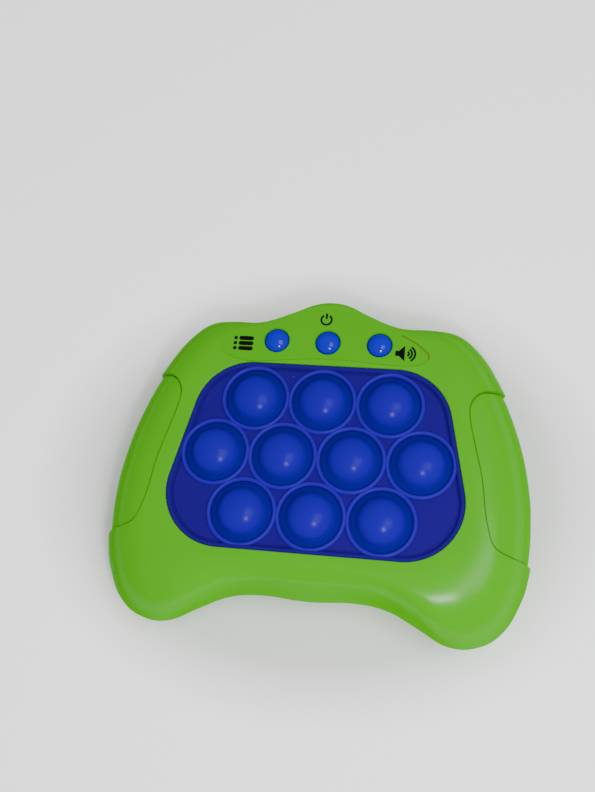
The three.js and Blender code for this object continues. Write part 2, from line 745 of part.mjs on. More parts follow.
const green = plastic(0x68cf02, 0.32);
const silicone = plastic(0x1b1ea0, 0.5);
const dome = plastic(0x1a26a8, 0.45);
const buttonBlue = plastic(0x0055cd, 0.25);
const clear = plastic(0xe6ecf2, 0.15);
const white = plastic(0xe4e4e0, 0.4);
const laminate = plastic(0x2f6b2f, 0.5);
const black = plastic(0x202226, 0.5);
const film = plastic(0x7fcf2a, 0.2);
const steel = metal(0xb8bcc2);
const wrap = plastic(0x3a3f46, 0.35);

const game = new THREE.Group();
game.position.set(0, -fieldDrop, 0);

function place(name, solid, material, x = 0, y = 0, z = 0) {
  const mesh = new THREE.Mesh(geometryOf(solid), material());
  mesh.name = name;
  mesh.position.set(x, y, z);
  game.add(mesh);
}

place('front_shell', frontShell(), green);
place('rear_shell', rearShell(), green);
place('bubble_sheet', bubbleSheet(), silicone);
place('guide_plate', guidePlate(), white);
place('main_board', mainBoard(), laminate);
bubbles.forEach(({ x, y }, index) => {
  place(`bubble_${index + 1}`, bubbleDome(), dome, x, y);
  place(`light_guide_${index + 1}`, lightGuide(), clear, x, y);
  place(`bubble_switch_${index + 1}`, tactSwitch(boardTop + fitGap, switchBody - fitGap, switchStem),
    black, x, y);
});
['menu', 'power', 'sound'].forEach((use, index) => {
  const { x, y } = buttons[index];
  place(`${use}_button`, pushButton(), buttonBlue, x, y);
  place(`${use}_switch`, tactSwitch(buttonBoardTop + fitGap, buttonSwitchBody - fitGap,
    buttonSwitchStem), black, x, y);
});
place('button_board', buttonBoard(), laminate);
place('label_film', labelFilm(), film);
place('speaker', speaker(), black, speakerX, speakerY);
place('battery_door', batteryDoor(), green);
place('battery_door_screw', screw(smallHeadRadius, smallHeadHeight, smallScrewRadius, smallScrewGrip,
  lugTop - lugShelf - fitGap), steel, 0, lugY);
for (let cell = 0; cell < cellCount; cell += 1) {
  const row = cell - (cellCount - 1) / 2;
  place(`battery_cell_${cell + 1}`, batteryCell(cell % 2 === 1), wrap, 0,
    wellY + row * (cellRadius * 2 + cellGap), cellHeight);
}
place('contact_plus', contactPlate(-1, [-1]), steel);
place('contact_link_left', contactPlate(-1, [0, 1]), steel);
place('contact_link_right', contactPlate(1, [-1, 0]), steel);
place('contact_minus', contactPlate(1, [1]), steel);
caseScrews.forEach(({ x, y }, index) => {
  place(`case_screw_${index + 1}`, screw(screwHeadRadius, screwHeadHeight, screwRadius, screwGrip,
    screwSeat - fitGap), steel, x, y);
});

export default game;
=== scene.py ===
# Handheld electronic bubble pop game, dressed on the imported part. Lengths are in metres, and X runs
# across the housing, Y from the grips to the hump and Z up out of the face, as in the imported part.

import math

import bmesh
import bpy
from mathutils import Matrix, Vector


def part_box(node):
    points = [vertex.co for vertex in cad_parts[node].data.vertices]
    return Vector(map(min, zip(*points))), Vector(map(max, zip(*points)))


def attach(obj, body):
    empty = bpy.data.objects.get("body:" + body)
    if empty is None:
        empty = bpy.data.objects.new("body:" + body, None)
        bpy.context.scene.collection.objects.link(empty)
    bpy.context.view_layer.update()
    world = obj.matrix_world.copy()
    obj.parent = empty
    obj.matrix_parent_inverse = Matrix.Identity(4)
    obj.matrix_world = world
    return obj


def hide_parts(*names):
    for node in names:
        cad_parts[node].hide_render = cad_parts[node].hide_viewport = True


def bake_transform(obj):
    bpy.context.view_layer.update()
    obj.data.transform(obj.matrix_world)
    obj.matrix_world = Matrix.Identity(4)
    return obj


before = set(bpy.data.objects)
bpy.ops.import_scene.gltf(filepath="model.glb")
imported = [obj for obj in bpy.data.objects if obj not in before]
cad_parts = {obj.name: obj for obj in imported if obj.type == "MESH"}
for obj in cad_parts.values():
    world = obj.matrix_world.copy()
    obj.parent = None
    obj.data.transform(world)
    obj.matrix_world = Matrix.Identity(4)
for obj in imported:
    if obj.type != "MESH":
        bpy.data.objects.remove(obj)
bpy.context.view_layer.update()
mm = 0.001


# Camera. The photograph looks down on the game from in front and a little to its right, from 40 cm
# away, so that the sides of the housing hardly show. Its place and turn come from a camera that was
# fitted to the rings of the ten bubbles.
camera_place = (0.04756, -0.10539, 0.38767)
camera_turn = (20.564, 7.072, 6.113)
camera_lens = 43.1
camera_sensor = 36
camera_near = 0.01

bpy.ops.object.select_all(action="DESELECT")
bpy.ops.object.camera_add(location=camera_place, rotation=[math.radians(turn) for turn in camera_turn])
camera = bpy.context.object
camera.name = "camera"
camera.data.lens = camera_lens
camera.data.sensor_width = camera_sensor
camera.data.clip_start = camera_near
bpy.context.scene.camera = camera


# Front shell of the housing: glossy lime green plastic, moulded in one piece with a rounded shoulder
# all round, a window for the bubble sheet, three button holes and two stepped-in grip panels. Six
# screws from the back hold it down on the rear shell.
half_width = 84.9 * mm
half_length = 68.08 * mm
front_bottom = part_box("front_shell")[0].z
face_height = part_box("front_shell")[1].z
shell_wall = 2.4 * mm
grip_step = 1.2 * mm
seam_round = 0.3 * mm
window_round = 0.35 * mm
window_steps = 4
button_radius = 4.9 * mm
button_gap = 0.3 * mm
housing_shares = [
    (0, 1), (0.086, 0.978), (0.198, 0.89), (0.335, 0.848), (0.524, 0.872), (0.625, 0.859),
    (0.711, 0.779), (0.827, 0.559), (0.926, 0.267), (0.984, -0.038), (1, -0.302), (0.981, -0.589),
    (0.949, -0.73), (0.862, -0.913), (0.762, -0.988), (0.645, -0.997), (0.506, -0.915),
    (0.373, -0.836), (0.246, -0.808), (0, -0.82),
]
face_shares = [
    (0, 0.906), (0.153, 0.865), (0.306, 0.771), (0.459, 0.672), (0.576, 0.525), (0.653, 0.321),
    (0.694, 0.079), (0.718, -0.155), (0.735, -0.331), (0.718, -0.507), (0.641, -0.625),
    (0.518, -0.666), (0.294, -0.661), (0, -0.657),
]
grip_shares = [
    (1.2, 0.592), (0.853, 0.49), (0.79, 0.452), (0.738, 0.428), (0.7, 0.382), (0.681, 0.325),
    (0.685, 0.24), (0.708, 0.109), (0.744, -0.075), (0.786, -0.39), (0.814, -0.471),
    (0.859, -0.503), (0.988, -0.525), (1.2, -0.544),
]
edge_relief = 0.25 * mm
groove_width = 0.5 * mm
groove_depth = 0.8 * mm
face_blunt = 0.8
front_draft = 0.25
shoulder_steps = 24
outline_steps = 8
inner_shoulder = 0.3
crease_reach = math.radians(42)
crease_height = 0.72
crease_out = 0.52
window_corners = [(-63.3, -40.58), (63.3, -40.58), (47.2, 35.88), (-47.2, 35.88)]
window_corner_round = 23 * mm
window_gap = 0.08 * mm
housing_shade = (0.066, 0.4, 0.0, 1)
housing_light = (0.072, 0.435, 0.0, 1)
drift_scale = 35
grain_strength = 0.25
rough_spread = 0.06
coat_ior = 1.3
gloss_edge = 0.6
gloss_slope = 2.5


def middle_of(node):
    """The middle of a CAD node at rest."""
    return sum(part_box(node), Vector()) / 2


def smooth_loop(corners, steps):
    """Places on a smooth closed line through the corners."""
    bpy.ops.object.select_all(action="DESELECT")
    bpy.ops.curve.primitive_bezier_circle_add()
    curve = bpy.context.object
    line = curve.data.splines[0]
    line.bezier_points.add(len(corners) - len(line.bezier_points))
    line.resolution_u = steps
    for point, corner in zip(line.bezier_points, corners):
        point.co = corner
        point.handle_left_type = "AUTO"
        point.handle_right_type = "AUTO"
    bpy.ops.object.convert(target="MESH")
    places = [vertex.co.copy() for vertex in curve.data.vertices]
    bpy.data.objects.remove(curve)
    return places


def mirrored_loop(shares):
    """A smooth closed line from the right half of an outline, as shares of the housing's halves."""
    right = [Vector((x * half_width, y * half_length, 0)) for x, y in shares]
    left = [Vector((-place.x, place.y, 0)) for place in reversed(right[1:-1])]
    return smooth_loop(right + left, outline_steps)


def rounded_loop(corners, radius, steps):
    """Places round a shape with straight sides and round corners."""
    places = []
    for index, corner in enumerate(corners):
        back = (corners[index - 1] - corner).normalized()
        ahead = (corners[(index + 1) % len(corners)] - corner).normalized()
        half = back.angle(ahead) / 2
        centre = corner + (back + ahead).normalized() * radius / math.sin(half)
        start = (corner + back * radius / math.tan(half) - centre).normalized()
        end = (corner + ahead * radius / math.tan(half) - centre).normalized()
        places += [centre + start.slerp(end, step / steps) * radius for step in range(steps + 1)]
    return places


def widened(places, distance):
    """The same closed line, moved outwards on all sides."""
    moved = []
    for index, place in enumerate(places):
        along = (places[(index + 1) % len(places)] - places[index - 1]).normalized()
        moved.append(place + Vector((along.y, -along.x, 0)) * distance)
    return moved


def turn_of(place):
    """The direction of a place as seen from the middle of the bubble field."""
    away = place - field_middle
    return math.atan2(away.y, away.x)


def crossing(places, towards):
    """Where the ray from the middle of the bubble field towards a place crosses a closed line."""
    slack = 1e-9
    ray = (towards - field_middle).to_2d().normalized()
    for index, place in enumerate(places):
        start = (places[index - 1] - field_middle).to_2d()
        side = (place - places[index - 1]).to_2d()
        across = ray.x * side.y - ray.y * side.x
        if across == 0:
            continue
        share = (start.x * -ray.y + start.y * ray.x) / -across
        reach = (start.x * side.y - start.y * side.x) / across
        if reach > 0 and -slack <= share <= 1 + slack:
            return field_middle + (ray * reach).to_3d()
    raise ValueError("the line does not go round the middle of the field")


def between(near, far, share, height):
    """A ring of places part of the way from a near ring to a far one, at one height."""
    return [Vector((*a.lerp(b, share).xy, height)) for a, b in zip(near, far)]


def level(ring, height):
    return [Vector((*place.xy, height)) for place in ring]


def inset(ring, distance):
    """A ring drawn in towards the middle of the field."""
    return [place - (place - field_middle).to_2d().normalized().to_3d() * distance for place in ring]


def shoulder(wide, narrow, wide_height, narrow_height, draft, steps):
    """Rings of a rounded shoulder, of which a share is a straight draft."""
    rings = []
    for step in range(steps + 1):
        turn = step / steps * math.pi / 2
        up = math.sin(turn) ** face_blunt
        round_in = 1 - max(math.cos(turn), 0) ** face_blunt
        out = 1 - draft * up - (1 - draft) * round_in
        rings.append(between(narrow, wide, out, wide_height + (narrow_height - wide_height) * up))
    return rings


def loft(name, rings, closed):
    """A skin extruded through the rings, closed on itself or capped at both ends."""
    bpy.ops.object.select_all(action="DESELECT")
    bpy.ops.mesh.primitive_circle_add(vertices=len(rings[0]), radius=half_length, location=field_middle)
    piece = bpy.context.object
    bpy.ops.object.transform_apply(location=True)
    piece.name = name
    bpy.ops.object.mode_set(mode="EDIT")
    bpy.ops.mesh.select_all(action="SELECT")
    for index, ring in enumerate(rings):
        if index:
            bpy.ops.mesh.extrude_edges_move()
        shape = bmesh.from_edit_mesh(piece.data)
        picked = sorted((v for v in shape.verts if v.select), key=lambda v: turn_of(v.co))
        for vertex, place in zip(picked, ring):
            vertex.co = place
        bmesh.update_edit_mesh(piece.data)
    if closed:
        bpy.ops.mesh.select_all(action="DESELECT")
        bpy.ops.mesh.select_non_manifold()
        bpy.ops.mesh.bridge_edge_loops()
    else:
        bpy.ops.mesh.edge_face_add()
        bpy.ops.mesh.select_all(action="DESELECT")
        bpy.ops.mesh.select_non_manifold()
        bpy.ops.mesh.edge_face_add()
    finish_mesh()
    return piece


def finish_mesh():
    """Turns all faces of the piece in hand outwards and leaves edit mode."""
    bpy.ops.mesh.select_all(action="SELECT")
    bpy.ops.mesh.normals_make_consistent(inside=False)
    bpy.ops.object.mode_set(mode="OBJECT")


def prism(name, places, bottom, top):
    """An upright block over a closed line."""
    bpy.ops.object.select_all(action="DESELECT")
    bpy.ops.mesh.primitive_circle_add(vertices=len(places), radius=half_length)
    piece = bpy.context.object
    piece.name = name
    for vertex, place in zip(piece.data.vertices, places):
        vertex.co = (*place.xy, bottom)
    bpy.ops.object.mode_set(mode="EDIT")
    bpy.ops.mesh.select_all(action="SELECT")
    bpy.ops.mesh.edge_face_add()
    bpy.ops.mesh.extrude_region_move(TRANSFORM_OT_translate={"value": (0, 0, top - bottom)})
    finish_mesh()
    return piece


def cylinder(name, place, radius, bottom, top, steps=64):
    """An upright round bar, for cutting holes and joining posts."""
    turns = [2 * math.pi * step / steps for step in range(steps)]
    places = [place + Vector((math.cos(turn), math.sin(turn), 0)) * radius for turn in turns]
    return prism(name, places, bottom, top)


def join(first, *others):
    bpy.ops.object.select_all(action="DESELECT")
    for piece in (first, *others):
        piece.select_set(True)
    bpy.context.view_layer.objects.active = first
    bpy.ops.object.join()
    return first


def work(piece, tool, operation):
    """Cuts a tool out of a piece or joins it on, and takes the tool and its empty slots away."""
    slots = len(piece.data.materials)
    bpy.ops.object.select_all(action="DESELECT")
    bpy.context.view_layer.objects.active = piece
    modifier = piece.modifiers.new("work", "BOOLEAN")
    modifier.operation = operation
    modifier.solver = "MANIFOLD"
    modifier.object = tool
    bpy.ops.object.modifier_apply(modifier=modifier.name)
    while len(piece.data.materials) > slots:
        piece.data.materials.pop()
    bpy.data.objects.remove(tool)


def smooth(piece, angle=35):
    """Smooth shading, apart from edges sharper than the angle in degrees."""
    bpy.ops.object.select_all(action="DESELECT")
    piece.select_set(True)
    bpy.context.view_layer.objects.active = piece
    bpy.ops.object.shade_smooth_by_angle(angle=math.radians(angle))


class Shade:
    """A socket among a material's nodes. Sums on it add Math nodes, and node() adds any other."""

    def __init__(self, tree, socket=None):
        self.tree = tree
        self.socket = socket

    def node(self, kind, inputs, output=0, **settings):
        made = self.tree.nodes.new(kind)
        for name, setting in settings.items():
            setattr(made, name, setting)
        for name, given in inputs.items():
            if isinstance(given, Shade):
                self.tree.links.new(given.socket, made.inputs[name])
            else:
                made.inputs[name].default_value = given
        return Shade(self.tree, made.outputs[output])

    def math(self, operation, first, second):
        return self.node("ShaderNodeMath", {0: first, 1: second}, operation=operation)

    def __add__(self, other):
        return self.math("ADD", self, other)

    def __sub__(self, other):
        return self.math("SUBTRACT", self, other)

    def __rsub__(self, other):
        return self.math("SUBTRACT", other, self)

    def __mul__(self, other):
        return self.math("MULTIPLY", self, other)

    def __truediv__(self, other):
        return self.math("DIVIDE", self, other)

    __radd__ = __add__
    __rmul__ = __mul__

    def limited(self):
        """The same number, kept between 0 and 1."""
        return self.node("ShaderNodeClamp", {"Value": self})

    def mixed(self, first, second):
        """The first colour where this number is 0, and the second where it is 1."""
        return self.node("ShaderNodeMix", {0: self, 6: first, 7: second}, output=2, data_type="RGBA")

    def spread(self, least, most):
        """A number between the least and the most, for a number between 0 and 1."""
        return self * (most - least) + least

    def noise(self, scale, detail):
        return self.node("ShaderNodeTexNoise", {"Vector": self, "Scale": scale, "Detail": detail})

    def bump(self, strength, distance):
        return self.node("ShaderNodeBump", {"Height": self, "Strength": strength, "Distance": distance})

    def along(self, axis):
        """How far this place lies along an axis."""
        return self.node("ShaderNodeSeparateXYZ", {"Vector": self}, output=axis)

    def reach(self, middle, scale):
        """How far this place is from a middle, with each axis scaled."""
        away = self.node("ShaderNodeVectorMath", {0: self, 1: middle}, operation="SUBTRACT")
        away = self.node("ShaderNodeVectorMath", {0: away, 1: scale}, operation="MULTIPLY")
        return self.node("ShaderNodeVectorMath", {0: away}, output="Value", operation="LENGTH")


def new_finish(name, **fixed):
    """A material, its shader with the values that are the same all over, and the place on the piece."""
    material = bpy.data.materials.new(name)
    material.use_nodes = True
    shader = material.node_tree.nodes["Principled BSDF"]
    for input_name, value in fixed.items():
        shader.inputs[input_name.replace("_", " ")].default_value = value
    place = Shade(material.node_tree).node("ShaderNodeTexCoord", {}, output="Object")
    return material, shader, place


def feed(shader, **given):
    """Links shades to the shader's inputs of the same names."""
    for input_name, shade in given.items():
        shade.tree.links.new(shade.socket, shader.inputs[input_name.replace("_", " ")])


def gloss(shade, most):
    """A clear gloss for what faces the eye, which fades where the surface turns away."""
    facing = shade.node("ShaderNodeLayerWeight", {"Blend": 0.5}, output="Facing")
    return ((gloss_edge - facing) * gloss_slope).limited() * most


def moulded(name, dark, light, roughness, grain, depth, shine=0.0, **fixed):
    """A moulded finish: the tone drifts over the surface, and a fine grain breaks up the gloss."""
    material, shader, place = new_finish(name, Coat_IOR=coat_ior, Coat_Roughness=roughness, **fixed)
    drift = place.noise(drift_scale, detail=2)
    fine = place.noise(grain, detail=3)
    feed(shader, Base_Color=drift.mixed(dark, light), Normal=fine.bump(grain_strength, depth),
         Roughness=fine.spread(roughness - rough_spread, roughness + rough_spread))
    if shine:
        feed(shader, Coat_Weight=gloss(place, shine))
    return material


def finish_nodes(names, material):
    """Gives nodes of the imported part, whose shapes stay, a better material."""
    for name in names:
        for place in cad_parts[name].material_slots:
            place.material = material


def dress(piece, material, body):
    """Gives a finished piece its material and the body that it moves with."""
    piece.data.materials.clear()
    piece.data.materials.append(material)
    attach(piece, body)


field_middle = (middle_of("bubble_5") + middle_of("bubble_6")) / 2
field_middle.z = 0
housing_ring = sorted(mirrored_loop(housing_shares), key=turn_of)
face_loop = mirrored_loop(face_shares)
face_ring = [crossing(face_loop, place) for place in housing_ring]
sheet_loop = rounded_loop([Vector((x * mm, y * mm, 0)) for x, y in window_corners],
                          window_corner_round, steps=24)
window_ring = [crossing(widened(sheet_loop, window_gap), place) for place in housing_ring]
grip_corners = [Vector((x * half_width, y * half_length, 0)) for x, y in grip_shares]
grip_loop = smooth_loop(grip_corners, steps=12)


def creased(rings):
    """The rings of the front shoulder, with a sloping band above a steep wall between the grips."""
    for foot, head, *column in zip(rings[0], rings[-1], *rings):
        off_middle = abs(turn_of(foot) + math.pi / 2) / crease_reach
        weight = max(1 - off_middle ** 2, 0)
        for place in column:
            up = (place.z - foot.z) / (head.z - foot.z)
            if up < crease_height:
                out = 1 - (1 - crease_out) * up / crease_height
            else:
                out = crease_out * (1 - up) / (1 - crease_height)
            place.xy = place.xy.lerp(head.xy.lerp(foot.xy, out), weight)
    return rings


def front_rings(step_in):
    """Rings of the front form, drawn in on all sides."""
    return creased(shoulder(inset(housing_ring, step_in), face_ring, front_bottom,
                            face_height - step_in, front_draft, shoulder_steps))


def mirror_image(places):
    return [Vector((-place.x, place.y, 0)) for place in reversed(places)]


def grip_panels(outline, bottom, top):
    return join(prism("grip_right", outline, bottom, top),
                prism("grip_left", mirror_image(outline), bottom, top))


def sink_grips(shell, form_rings, bottom, top):
    """Steps the grip panels in from the full form of a shell, with a fine groove round each."""
    relief = grip_panels(widened(grip_loop, edge_relief), bottom, top)
    work(relief, loft("outer_form", form_rings(edge_relief), closed=False), "DIFFERENCE")
    work(shell, relief, "DIFFERENCE")
    panels = grip_panels(grip_loop, bottom, top)
    work(panels, loft("inner_form", form_rings(grip_step), closed=False), "DIFFERENCE")
    groove = grip_panels(grip_loop, bottom + seam_round, top)
    work(groove, grip_panels(widened(grip_loop, -groove_width), bottom, top + seam_round), "DIFFERENCE")
    work(groove, loft("groove_form", form_rings(grip_step + groove_depth), closed=False), "DIFFERENCE")
    work(shell, panels, "DIFFERENCE")
    work(shell, groove, "DIFFERENCE")


rings = [level(inset(housing_ring, seam_round), front_bottom)]
rings += [level(housing_ring, front_bottom + seam_round)]
rings += front_rings(0)[1:]
for step in range(window_steps + 1):
    turn = step / window_steps * math.pi / 2
    rings.append(level(inset(window_ring, -window_round * (1 - math.sin(turn))),
                       face_height - window_round * (1 - math.cos(turn))))
rings.append(level(window_ring, face_height - shell_wall))
rings.append(level(face_ring, face_height - shell_wall))
rings.append(between(inset(housing_ring, 2 * shell_wall), face_ring, inner_shoulder,
                     face_height - 3 * shell_wall))
rings.append(level(inset(housing_ring, shell_wall), front_bottom))
front_shell = loft("front_housing", rings, closed=True)
sink_grips(front_shell, front_rings, front_bottom - shell_wall, face_height + shell_wall)
for use in ("menu", "power", "sound"):
    middle = middle_of(use + "_button")
    hole = cylinder("hole", middle, button_radius + button_gap, face_height - 2 * shell_wall,
                    face_height + shell_wall)
    work(front_shell, hole, "DIFFERENCE")
smooth(front_shell)
housing_green = moulded("housing_green", housing_shade, housing_light, roughness=0.25, grain=900,
                        depth=0.00001, shine=1.0, IOR=1.02)
dress(front_shell, housing_green, "root")
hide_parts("front_shell")


# Rear shell: the same green plastic, the half that lies on the table. It is a drafted tray with a flat
# bottom, screw posts, the battery well and the sound holes, and it meets the front shell in a fine
# parting line.
fit_gap = 0.3 * mm
rim_height = front_bottom - fit_gap
base_share = 0.8
rear_draft = 0.65
grip_ledge = 6.5 * mm
screw_seat = rim_height - 2.6 * mm
post_radius = 4.4 * mm
counterbore = 3.3 * mm
screw_hole = 1.7 * mm
edge_chamfer = 0.4 * mm
well_middle = middle_of("battery_cell_2")
well_half = (25.3 * mm, 16.4 * mm)
well_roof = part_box("battery_cell_2")[1].z + fit_gap
well_wall = 1.6 * mm
recess_mouth = 0.7 * mm
door_half = (27.7 * mm, 18.8 * mm)
door_corner = 3 * mm
door_ledge = 2.5 * mm
door_frame = 4.4 * mm
lug_middle = middle_of("battery_door_screw")
lug_radius = 5 * mm
lug_seat_top = 12 * mm
lug_seat = 4.7 * mm
lug_bore = 1.3 * mm
lug_bore_top = 8.4 * mm
speaker_middle = middle_of("speaker")
speaker_radius = 13 * mm
speaker_wall = 1.2 * mm
speaker_seat_top = 5 * mm
sound_hole = 1.6 * mm
sound_ring = 6 * mm
sound_holes = 6
board_post_radius = 3 * mm
board_post_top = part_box("main_board")[0].z - fit_gap
board_posts = [(44, 27.3), (-44, 27.3), (20, -34.7), (-20, -34.7)]
case_screws = ["case_screw_" + str(number) for number in range(1, 7)]


def smooth_profile(corners, steps):
    """Radius and height along a smooth open line through the corners."""
    bpy.ops.object.select_all(action="DESELECT")
    bpy.ops.curve.primitive_bezier_curve_add()
    curve = bpy.context.object
    line = curve.data.splines[0]
    line.bezier_points.add(len(corners) - len(line.bezier_points))
    line.resolution_u = steps
    for point, (radius, height) in zip(line.bezier_points, corners):
        point.co = (radius, 0, height)
        point.handle_left_type = "AUTO"
        point.handle_right_type = "AUTO"
    bpy.ops.object.convert(target="MESH")
    profile = [(max(vertex.co.x, 0), vertex.co.z) for vertex in curve.data.vertices]
    bpy.data.objects.remove(curve)
    return profile


def turned(name, profile, middle, steps=64):
    """A round piece, spun from its profile of radius and height about an upright axis."""
    bpy.ops.object.select_all(action="DESELECT")
    radius, height = profile[0]
    bpy.ops.mesh.primitive_plane_add(size=mm, location=(0, 0, 0))
    piece = bpy.context.object
    piece.name = name
    bpy.ops.object.mode_set(mode="EDIT")
    bpy.ops.mesh.select_all(action="SELECT")
    bpy.ops.mesh.merge(type="CENTER")
    bpy.ops.transform.translate(value=(middle.x + radius, middle.y, height))
    for next_radius, next_height in profile[1:]:
        step = (next_radius - radius, 0, next_height - height)
        bpy.ops.mesh.extrude_vertices_move(TRANSFORM_OT_translate={"value": step})
        radius, height = next_radius, next_height
    bpy.ops.mesh.select_all(action="SELECT")
    bpy.ops.mesh.spin(steps=steps, angle=2 * math.pi, center=(middle.x, middle.y, 0), axis=(0, 0, 1))
    bpy.ops.mesh.select_all(action="SELECT")
    bpy.ops.mesh.remove_doubles(threshold=mm / 1000)
    finish_mesh()
    return piece


def rectangle(middle, half_x, half_y, corner):
    """Places round an upright rectangle with round corners, in order round the middle of the field."""
    corners = [(-half_x, -half_y), (half_x, -half_y), (half_x, half_y), (-half_x, half_y)]
    spots = [Vector((middle.x + x, middle.y + y, 0)) for x, y in corners]
    return sorted(rounded_loop(spots, corner, steps=8), key=turn_of)


def copied(piece, name, shift):
    """A copy of a piece with its own mesh, moved by a shift."""
    bpy.ops.object.select_all(action="DESELECT")
    piece.select_set(True)
    bpy.context.view_layer.objects.active = piece
    bpy.ops.object.duplicate()
    twin = bpy.context.object
    twin.name = name
    bpy.ops.transform.translate(value=shift)
    bpy.ops.object.transform_apply(location=True)
    return twin


def rear_rings(step_in, top, bottom, steps=shoulder_steps):
    """Rings of the rear form, drawn in on all sides."""
    base = [field_middle + (place - field_middle) * base_share for place in housing_ring]
    return shoulder(inset(housing_ring, step_in), inset(base, step_in), top, bottom, rear_draft, steps)


def well_tray(grow, corner, bottom, top):
    """A block over the outline of the battery well, grown on all sides."""
    outline = rectangle(well_middle, well_half[0] + grow, well_half[1] + grow, corner)
    return prism("well", outline, bottom, top)


hollow = loft("hollow", rear_rings(shell_wall, rim_height + shell_wall, shell_wall, steps=12),
              closed=False)
posts = []
for name in case_screws:
    posts.append(cylinder("post", middle_of(name), post_radius, 0, rim_height, steps=32))
for x, y in board_posts:
    posts.append(cylinder("post", Vector((x * mm, y * mm, 0)), board_post_radius, 0, board_post_top,
                          steps=32))
work(hollow, join(*posts), "DIFFERENCE")
work(hollow, well_tray(well_wall, well_wall, 0, well_roof + well_wall), "DIFFERENCE")
work(hollow, well_tray(door_half[0] - well_half[0] + door_frame, door_corner, 0, 2 * door_ledge),
     "DIFFERENCE")
work(hollow, cylinder("lug_seat", lug_middle, lug_radius + well_wall, 0, lug_seat_top, steps=32),
     "DIFFERENCE")
seat = cylinder("seat", speaker_middle, speaker_radius + fit_gap + speaker_wall, 0, speaker_seat_top)
work(seat, cylinder("room", speaker_middle, speaker_radius + fit_gap, shell_wall, 2 * speaker_seat_top),
     "DIFFERENCE")
work(hollow, seat, "DIFFERENCE")

rings = [level(inset(housing_ring, seam_round), rim_height)]
rings += [level(housing_ring, rim_height - seam_round)]
rings += rear_rings(0, rim_height, 0)[1:]
rear_shell = loft("rear_housing", rings, closed=False)
work(rear_shell, hollow, "DIFFERENCE")
screw_profile = [
    (0, -mm), (counterbore + edge_chamfer, -mm), (counterbore + edge_chamfer, 0),
    (counterbore, edge_chamfer), (counterbore, screw_seat), (screw_hole, screw_seat),
    (screw_hole, rim_height + mm), (0, rim_height + mm),
]
holes = [turned("hole", screw_profile, middle_of(name), steps=32) for name in case_screws]
turns = [2 * math.pi * step / sound_holes for step in range(sound_holes)]
spots = [(0, 0)] + [(sound_ring * math.cos(turn), sound_ring * math.sin(turn)) for turn in turns]
sound_profile = [(0, -mm), (sound_hole + edge_chamfer, -mm), (sound_hole + edge_chamfer, 0),
                 (sound_hole, edge_chamfer), (sound_hole, 2 * shell_wall), (0, 2 * shell_wall)]
for x, y in spots:
    holes.append(turned("hole", sound_profile, speaker_middle + Vector((x, y, 0)), steps=24))
work(rear_shell, join(*holes), "DIFFERENCE")
door_outline, wide_outline = (
    rectangle(well_middle, door_half[0] + room, door_half[1] + room, door_corner)
    for room in (fit_gap, recess_mouth))
recess = loft("recess", [level(wide_outline, -mm), level(wide_outline, 0),
                         level(door_outline, edge_chamfer), level(door_outline, door_ledge)],
              closed=False)
work(rear_shell, recess, "DIFFERENCE")
work(rear_shell, well_tray(0, well_wall / 2, -mm, well_roof), "DIFFERENCE")
lug_profile = [
    (0, -mm), (lug_radius + recess_mouth, -mm), (lug_radius + recess_mouth, 0),
    (lug_radius + fit_gap, edge_chamfer), (lug_radius + fit_gap, lug_seat), (lug_bore, lug_seat),
    (lug_bore, lug_bore_top), (0, lug_bore_top),
]
work(rear_shell, turned("lug_room", lug_profile, lug_middle), "DIFFERENCE")
sink_grips(rear_shell, lambda step_in: rear_rings(step_in, rim_height, 0), grip_ledge, rim_height + mm)
smooth(rear_shell)
dress(rear_shell, housing_green, "root")
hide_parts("rear_shell")


# Speaker: a small steel basket with a black paper cone, in a seat on the floor of the rear shell.
cone_radius = 11 * mm
cone_ridges = 900
cone_edge = 4000
ridge_share = 0.5
paper_black = (0.012, 0.012, 0.013, 1)
basket_steel = (0.5, 0.51, 0.53, 1)
paper_rough = 0.7
basket_rough = 0.3

speaker_black, shader, place = new_finish("speaker_black")
reach = place.reach(speaker_middle, (1, 1, 0))
rim = ((reach - cone_radius) * cone_edge).limited()
ridge = place.node("ShaderNodeMath", {0: reach * (cone_ridges * 2 * math.pi)}, operation="SINE")
fibre = place.noise(scale=1500, detail=3)
feed(shader, Base_Color=rim.mixed(paper_black, basket_steel), Metallic=rim,
     Roughness=fibre.spread(0, 0.2) + rim.spread(paper_rough, basket_rough),
     Normal=(ridge * ridge_share + fibre).bump(strength=0.4, distance=0.0001))
finish_nodes(["speaker"], speaker_black)


# Battery: three AAA cells in plain grey wraps, side by side in the well. The middle one lies the other
# way round, and all three bear on contact plates of nickel-plated spring steel at the well's ends.
cell_names = ["battery_cell_1", "battery_cell_2", "battery_cell_3"]
contact_names = ["contact_plus", "contact_minus", "contact_link_left", "contact_link_right"]
cell_low, cell_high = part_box("battery_cell_1")
cell_radius = (cell_high.z - cell_low.z) / 2
cell_half = (cell_high.x - cell_low.x) / 2
base_radius = 3.6 * mm
nub_radius = 1.9 * mm
nub_length = 0.9 * mm
crimp = 0.3 * mm
wrap_end = cell_half - nub_length - 0.5 * mm
band_start = cell_half - 9 * mm
print_edge = 20000
wrap_black = (0.03, 0.032, 0.036, 1)
band_grey = (0.3, 0.31, 0.33, 1)
band_metal = 0.4
cell_steel = (0.62, 0.62, 0.6, 1)
spring_shade = (0.55, 0.55, 0.53, 1)
spring_light = (0.7, 0.7, 0.68, 1)

